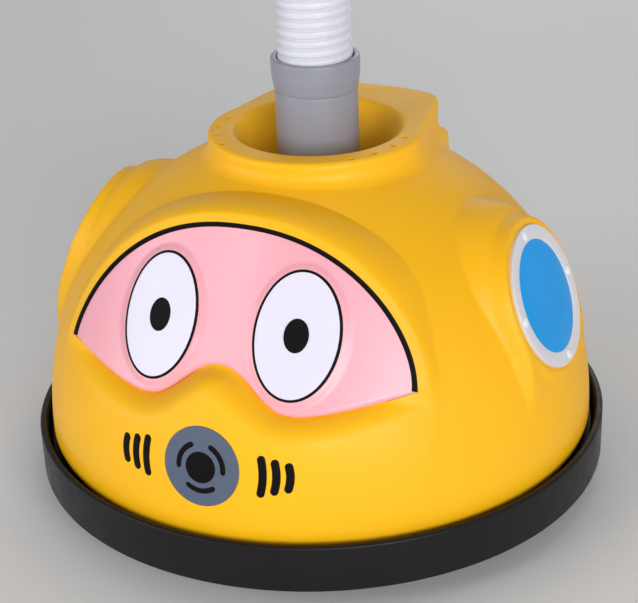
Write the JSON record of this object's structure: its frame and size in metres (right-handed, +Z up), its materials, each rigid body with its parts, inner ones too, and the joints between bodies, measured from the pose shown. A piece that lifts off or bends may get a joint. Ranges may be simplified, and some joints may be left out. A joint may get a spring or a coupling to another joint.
{
  "type": "pool cleaner",
  "caption": "Suction pool cleaner: domed hood with a mask front, bumper ring, turbine drive, rocking frames on walking pods, and a swivelling hose.",
  "frame": {"origin": "on the floor under the centre of the bumper ring", "axes": "+Z up, the mask faces -Y, +X to the right seen from the front"},
  "size_m": [0.336, 0.336, 0.5],
  "materials": {
    "hood_shell": "satin moulded plastic",
    "bumper_rubber": "satin",
    "mask_pink": "satin",
    "print_black": "satin",
    "eye_white": "satin",
    "port_ring": "satin",
    "port_blue": "gloss",
    "rivet_pale": "gloss",
    "badge_grey": "satin",
    "base_plastic": "moulded",
    "housing_plastic": "moulded",
    "steel": "turned",
    "vane_plastic": "moulded",
    "bearing_plastic": "machined",
    "gear_plastic": "moulded",
    "frame_plastic": "moulded",
    "pod_plastic": "moulded",
    "sole_rubber": "matt",
    "flap_rubber": "satin",
    "cuff_grey": "satin",
    "hose_white": "satin",
    "cone_white": "moulded",
    "float_foam": "closed-cell foam",
    "ballast_iron": "coated"
  },
  "bodies": {
    "chassis": {"hood": "hood_shell", "bumper_ring": "bumper_rubber", "mask_panel": "mask_pink", "mask_trim": "print_black", "eye_ovals": "eye_white", "pupils": "print_black", "porthole_rings": "port_ring", "porthole_lenses": "port_blue", "porthole_rivets": "rivet_pale", "regulator_badge": "badge_grey", "regulator_marks": "print_black", "grille_bars": "print_black", "base_plate": "base_plastic", "throat": "base_plastic", "turbine_housing_front": "housing_plastic", "turbine_housing_rear": "housing_plastic", "housing_screws": "steel", "spindle_bearings": "bearing_plastic", "gear_axles": "steel", "gear_clips": "steel", "saddle_left": "housing_plastic", "saddle_right": "housing_plastic", "saddle_screws": "steel", "frame_axles": "steel", "flap_rods": "steel", "steering_case": "base_plastic", "steering_cover": "housing_plastic", "steering_screws": "steel", "steering_pin": "steel", "cone_bushing": "bearing_plastic", "cone_retainer": "steel", "float_block": "float_foam", "ballast_bars": "ballast_iron", "hood_screws": "steel"},
    "rotor": {"turbine_wheel": "vane_plastic", "turbine_spindle": "steel", "pinion_left": "gear_plastic", "pinion_right": "gear_plastic"},
    "drive_left": {"drive_gear_left": "gear_plastic", "eccentric_bush_left": "bearing_plastic"},
    "drive_right": {"drive_gear_right": "gear_plastic", "eccentric_bush_right": "bearing_plastic"},
    "frame_left": {"a_frame_left": "frame_plastic", "pod_pin_left": "steel"},
    "frame_right": {"a_frame_right": "frame_plastic", "pod_pin_right": "steel"},
    "foot_left": {"pod_left": "pod_plastic", "shoe_left": "sole_rubber"},
    "foot_right": {"pod_right": "pod_plastic", "shoe_right": "sole_rubber"},
    "front_flap": {"flap_front": "flap_rubber"},
    "rear_flap": {"flap_rear": "flap_rubber"},
    "steering_rotor": {"steering_turbine": "vane_plastic"},
    "steering_output": {"steering_gear": "gear_plastic"},
    "swivel": {"cone_gear": "cone_white", "lower_cuff": "cuff_grey", "hose": "hose_white", "upper_cuff": "cuff_grey"}
  },
  "joints": [
    {"name": "turbine_spin", "type": "hinge", "parent": "chassis", "child": "rotor", "pos_m": [0, 0, 0.088], "axis": [1, 0, 0], "continuous": true},
    {"name": "drive_left_spin", "type": "hinge", "parent": "chassis", "child": "drive_left", "pos_m": [0, 0.02598, 0.103], "axis": [1, 0, 0], "continuous": true},
    {"name": "drive_right_spin", "type": "hinge", "parent": "chassis", "child": "drive_right", "pos_m": [0, 0.02598, 0.103], "axis": [1, 0, 0], "continuous": true},
    {"name": "frame_left_rock", "type": "hinge", "parent": "chassis", "child": "frame_left", "pos_m": [0, 0, 0.058], "axis": [1, 0, 0], "range_deg": [-4.4, 4.4]},
    {"name": "frame_right_rock", "type": "hinge", "parent": "chassis", "child": "frame_right", "pos_m": [0, 0, 0.058], "axis": [1, 0, 0], "range_deg": [-4.4, 4.4]},
    {"name": "ankle_left", "type": "hinge", "parent": "frame_left", "child": "foot_left", "pos_m": [0, 0, 0.02], "axis": [1, 0, 0], "range_deg": [-8, 8]},
    {"name": "ankle_right", "type": "hinge", "parent": "frame_right", "child": "foot_right", "pos_m": [0, 0, 0.02], "axis": [1, 0, 0], "range_deg": [-8, 8]},
    {"name": "front_flap_swing", "type": "hinge", "parent": "chassis", "child": "front_flap", "pos_m": [0, -0.118, 0.02], "axis": [1, 0, 0], "range_deg": [-28, 28]},
    {"name": "rear_flap_swing", "type": "hinge", "parent": "chassis", "child": "rear_flap", "pos_m": [0, 0.118, 0.02], "axis": [1, 0, 0], "range_deg": [-28, 28]},
    {"name": "hose_swivel", "type": "hinge", "parent": "chassis", "child": "swivel", "pos_m": [0, 0.01, 0.15], "axis": [0, 0, 1], "continuous": true},
    {"name": "steering_output_spin", "type": "hinge", "parent": "chassis", "child": "steering_output", "pos_m": [0, 0.055, 0.13], "axis": [0, 0, 1], "continuous": true},
    {"name": "steering_rotor_spin", "type": "hinge", "parent": "chassis", "child": "steering_rotor", "pos_m": [0, 0.074, 0.12], "axis": [0, 0, 1], "continuous": true}
  ],
  "couplings": [
    {"joint": "drive_left_spin", "follows": "turbine_spin", "ratio": -0.33333},
    {"joint": "drive_right_spin", "follows": "turbine_spin", "ratio": -0.33333},
    {"joint": "frame_right_rock", "follows": "frame_left_rock", "ratio": -1},
    {"joint": "steering_output_spin", "follows": "hose_swivel", "ratio": -5},
    {"joint": "steering_rotor_spin", "follows": "hose_swivel", "ratio": 14}
  ]
}
